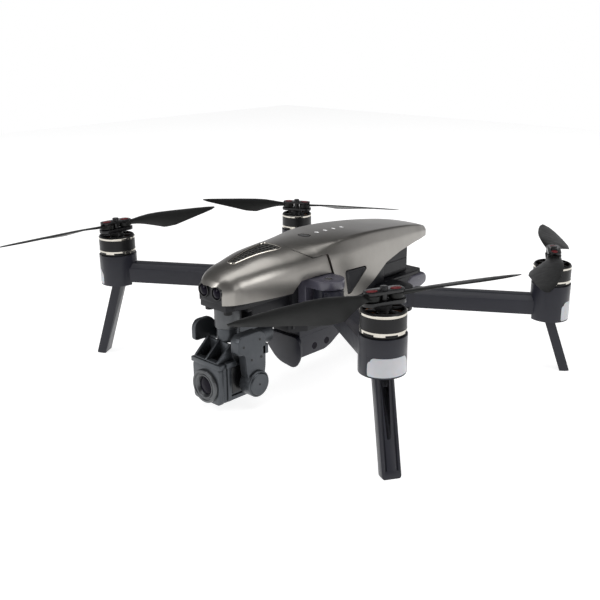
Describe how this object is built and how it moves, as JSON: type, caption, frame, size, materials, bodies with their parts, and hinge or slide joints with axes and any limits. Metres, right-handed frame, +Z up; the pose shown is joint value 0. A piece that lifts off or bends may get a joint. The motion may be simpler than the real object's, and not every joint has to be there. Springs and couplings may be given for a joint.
{
  "type": "folding quadcopter drone with camera gimbal",
  "caption": "Folding quadcopter with hinged arms and legs, folding propellers, a sliding rear battery and a camera gimbal under the nose.",
  "frame": {"origin": "on the ground under the middle of the box round the whole drone, propellers included", "axes": "+Z up, nose towards -Y, the drone's left side towards +X"},
  "size_m": [0.4016, 0.386, 0.1125],
  "materials": {
    "silver_shell": "satin champagne silver paint",
    "dark_plastic": "fine moulded texture",
    "arm_plastic": "satin charcoal",
    "grille_mesh": "matt dark mesh",
    "gloss_black": "polished black",
    "lens_glass": "coated glass",
    "light_cover": "frosted white",
    "lamp_white": "clear white lamp",
    "steel": "ground steel",
    "copper": "enamelled copper wire",
    "motor_black": "black anodised with bright turned bands",
    "blade_black": "matt black",
    "gimbal_metal": "dark grey anodised",
    "lens_metal": "satin grey anodised",
    "board": "solder mask green",
    "cell_wrap": "foil wrap",
    "rubber_black": "soft rubber"
  },
  "bodies": {
    "airframe": {"lower_chassis": "dark_plastic", "battery_deck": "dark_plastic", "main_board": "board", "nose_shell": "silver_shell", "top_grille": "grille_mesh", "sensor_bezel": "gloss_black", "front_sensors": "lens_glass", "front_hinge_mounts": "dark_plastic", "rear_hinge_mounts": "dark_plastic", "arm_hinge_pins": "steel", "belly_pod": "dark_plastic", "belly_sensors": "lens_glass", "damper_plate": "gimbal_metal", "rubber_dampers": "rubber_black", "yaw_motor": "gimbal_metal"},
    "battery": {"battery_cover": "silver_shell", "battery_case": "dark_plastic", "battery_cells": "cell_wrap", "indicator_leds": "lamp_white"},
    "power_button": {"power_button": "gloss_black"},
    "release_button_left": {"release_button_left": "gloss_black"},
    "release_button_right": {"release_button_right": "gloss_black"},
    "gimbal_yaw": {"yaw_arm": "gimbal_metal"},
    "gimbal_roll": {"yoke": "gimbal_metal", "pitch_motor": "gimbal_metal"},
    "camera": {"camera_body": "gimbal_metal", "lens_ring": "lens_metal", "lens_glass": "lens_glass"},
    "arm_front_left": {"arm_front_left": "arm_plastic", "light_cover_front_left": "light_cover", "stator_front_left": "copper"},
    "leg_front_left": {"leg_front_left": "arm_plastic"},
    "rotor_front_left": {"motor_bell_front_left": "motor_black", "prop_hub_front_left": "gloss_black"},
    "blade_1_front_left": {"blade_1_front_left": "blade_black"},
    "blade_2_front_left": {"blade_2_front_left": "blade_black"},
    "arm_front_right": {"arm_front_right": "arm_plastic", "light_cover_front_right": "light_cover", "stator_front_right": "copper"},
    "leg_front_right": {"leg_front_right": "arm_plastic"},
    "rotor_front_right": {"motor_bell_front_right": "motor_black", "prop_hub_front_right": "gloss_black"},
    "blade_1_front_right": {"blade_1_front_right": "blade_black"},
    "blade_2_front_right": {"blade_2_front_right": "blade_black"},
    "arm_rear_left": {"arm_rear_left": "arm_plastic", "light_cover_rear_left": "light_cover", "stator_rear_left": "copper"},
    "leg_rear_left": {"leg_rear_left": "arm_plastic"},
    "rotor_rear_left": {"motor_bell_rear_left": "motor_black", "prop_hub_rear_left": "gloss_black"},
    "blade_1_rear_left": {"blade_1_rear_left": "blade_black"},
    "blade_2_rear_left": {"blade_2_rear_left": "blade_black"},
    "arm_rear_right": {"arm_rear_right": "arm_plastic", "light_cover_rear_right": "light_cover", "stator_rear_right": "copper"},
    "leg_rear_right": {"leg_rear_right": "arm_plastic"},
    "rotor_rear_right": {"motor_bell_rear_right": "motor_black", "prop_hub_rear_right": "gloss_black"},
    "blade_1_rear_right": {"blade_1_rear_right": "blade_black"},
    "blade_2_rear_right": {"blade_2_rear_right": "blade_black"}
  },
  "joints": [
    {"name": "battery_slide", "type": "slide", "parent": "airframe", "child": "battery", "axis": [0, 1, 0], "range_m": [0, 0.1]},
    {"name": "power_button_press", "type": "slide", "parent": "battery", "child": "power_button", "axis": [0, 0, -1], "range_m": [0, 0.0008], "stiffness_N_per_m": 600, "springref_m": -0.0004},
    {"name": "release_left_press", "type": "slide", "parent": "battery", "child": "release_button_left", "axis": [-1, 0, 0], "range_m": [0, 0.0015], "stiffness_N_per_m": 600, "springref_m": -0.0004},
    {"name": "release_right_press", "type": "slide", "parent": "battery", "child": "release_button_right", "axis": [1, 0, 0], "range_m": [0, 0.0015], "stiffness_N_per_m": 600, "springref_m": -0.0004},
    {"name": "gimbal_yaw_turn", "type": "hinge", "parent": "airframe", "child": "gimbal_yaw", "pos_m": [0.02233, -0.09768, 0.056], "axis": [0, 0, 1], "range_deg": [-25, 25]},
    {"name": "gimbal_roll_turn", "type": "hinge", "parent": "gimbal_yaw", "child": "gimbal_roll", "pos_m": [0.02233, -0.08268, 0.044], "axis": [0, 1, 0], "range_deg": [-20, 20]},
    {"name": "gimbal_pitch_turn", "type": "hinge", "parent": "gimbal_roll", "child": "camera", "pos_m": [0.03833, -0.09468, 0.0195], "axis": [1, 0, 0], "range_deg": [0, 90]},
    {"name": "arm_fold_front_left", "type": "hinge", "parent": "airframe", "child": "arm_front_left", "pos_m": [0.05833, -0.03368, 0.07], "axis": [0, 0, 1], "range_deg": [0, 90]},
    {"name": "leg_fold_front_left", "type": "hinge", "parent": "arm_front_left", "child": "leg_front_left", "pos_m": [0.15488, -0.09415, 0.0642], "axis": [0.5308, 0.8475, 0], "range_deg": [0, 106]},
    {"name": "rotor_spin_front_left", "type": "hinge", "parent": "arm_front_left", "child": "rotor_front_left", "pos_m": [0.15573, -0.09468, 0.0995], "axis": [0, 0, 1], "continuous": true},
    {"name": "blade_1_fold_front_left", "type": "hinge", "parent": "rotor_front_left", "child": "blade_1_front_left", "pos_m": [0.15858, -0.0872, 0.1068], "axis": [0, 0, 1], "range_deg": [-80, 80]},
    {"name": "blade_2_fold_front_left", "type": "hinge", "parent": "rotor_front_left", "child": "blade_2_front_left", "pos_m": [0.15288, -0.10216, 0.1068], "axis": [0, 0, 1], "range_deg": [-80, 80]},
    {"name": "arm_fold_front_right", "type": "hinge", "parent": "airframe", "child": "arm_front_right", "pos_m": [-0.01367, -0.03368, 0.07], "axis": [0, 0, -1], "range_deg": [0, 90]},
    {"name": "leg_fold_front_right", "type": "hinge", "parent": "arm_front_right", "child": "leg_front_right", "pos_m": [-0.11022, -0.09415, 0.0642], "axis": [0.5308, -0.8475, 0], "range_deg": [0, 106]},
    {"name": "rotor_spin_front_right", "type": "hinge", "parent": "arm_front_right", "child": "rotor_front_right", "pos_m": [-0.11107, -0.09468, 0.0995], "axis": [0, 0, 1], "continuous": true},
    {"name": "blade_1_fold_front_right", "type": "hinge", "parent": "rotor_front_right", "child": "blade_1_front_right", "pos_m": [-0.11103, -0.08668, 0.1068], "axis": [0, 0, 1], "range_deg": [-80, 80]},
    {"name": "blade_2_fold_front_right", "type": "hinge", "parent": "rotor_front_right", "child": "blade_2_front_right", "pos_m": [-0.1111, -0.10268, 0.1068], "axis": [0, 0, 1], "range_deg": [-80, 80]},
    {"name": "arm_fold_rear_left", "type": "hinge", "parent": "airframe", "child": "arm_rear_left", "pos_m": [0.05833, 0.04832, 0.051], "axis": [0, 0, 1], "range_deg": [-50, 0]},
    {"name": "leg_fold_rear_left", "type": "hinge", "parent": "arm_rear_left", "child": "leg_rear_left", "pos_m": [0.15488, 0.10879, 0.045], "axis": [-0.5308, 0.8475, 0], "range_deg": [0, 108]},
    {"name": "rotor_spin_rear_left", "type": "hinge", "parent": "arm_rear_left", "child": "rotor_rear_left", "pos_m": [0.15573, 0.10932, 0.0839], "axis": [0, 0, 1], "continuous": true},
    {"name": "blade_1_fold_rear_left", "type": "hinge", "parent": "rotor_rear_left", "child": "blade_1_rear_left", "pos_m": [0.15984, 0.10246, 0.0912], "axis": [0, 0, 1], "range_deg": [-80, 80]},
    {"name": "blade_2_fold_rear_left", "type": "hinge", "parent": "rotor_rear_left", "child": "blade_2_rear_left", "pos_m": [0.15162, 0.11618, 0.0912], "axis": [0, 0, 1], "range_deg": [-80, 80]},
    {"name": "arm_fold_rear_right", "type": "hinge", "parent": "airframe", "child": "arm_rear_right", "pos_m": [-0.01367, 0.04832, 0.051], "axis": [0, 0, -1], "range_deg": [-50, 0]},
    {"name": "leg_fold_rear_right", "type": "hinge", "parent": "arm_rear_right", "child": "leg_rear_right", "pos_m": [-0.11022, 0.10879, 0.045], "axis": [-0.5308, -0.8475, 0], "range_deg": [0, 108]},
    {"name": "rotor_spin_rear_right", "type": "hinge", "parent": "arm_rear_right", "child": "rotor_rear_right", "pos_m": [-0.11107, 0.10932, 0.0839], "axis": [0, 0, 1], "continuous": true},
    {"name": "blade_1_fold_rear_right", "type": "hinge", "parent": "rotor_rear_right", "child": "blade_1_rear_right", "pos_m": [-0.10386, 0.11278, 0.0912], "axis": [0, 0, 1], "range_deg": [-80, 80]},
    {"name": "blade_2_fold_rear_right", "type": "hinge", "parent": "rotor_rear_right", "child": "blade_2_rear_right", "pos_m": [-0.11828, 0.10586, 0.0912], "axis": [0, 0, 1], "range_deg": [-80, 80]}
  ]
}
